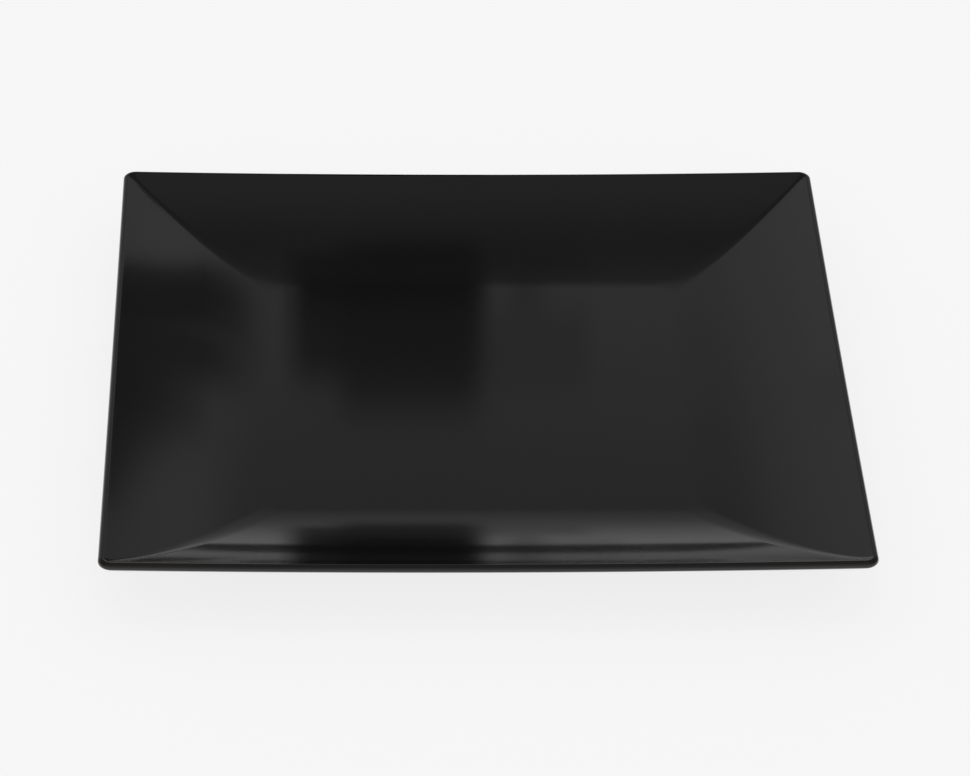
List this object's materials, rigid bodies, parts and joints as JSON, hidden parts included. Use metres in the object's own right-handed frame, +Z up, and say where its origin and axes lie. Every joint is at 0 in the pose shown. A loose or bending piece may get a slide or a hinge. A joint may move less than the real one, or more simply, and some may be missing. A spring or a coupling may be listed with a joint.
{
  "type": "square dinner plate",
  "caption": "Glossy black square stoneware plate with a flat floor, curved sides creased on the diagonals, a thin round rim and a bare foot ring.",
  "frame": {"origin": "middle of the plate on the plane of the foot ring's standing face", "axes": "+Z up out of the eating face, +X and +Y square to the plate's sides"},
  "size_m": [0.26, 0.26, 0.0247],
  "materials": {
    "stoneware": "bare fired stoneware, fine sandy speckle",
    "black_glaze": "glossy black glaze, faintly uneven"
  },
  "bodies": {
    "root": {"clay_body": "stoneware", "face_glaze": "black_glaze", "back_glaze": "black_glaze", "recess_glaze": "black_glaze"}
  },
  "joints": []
}
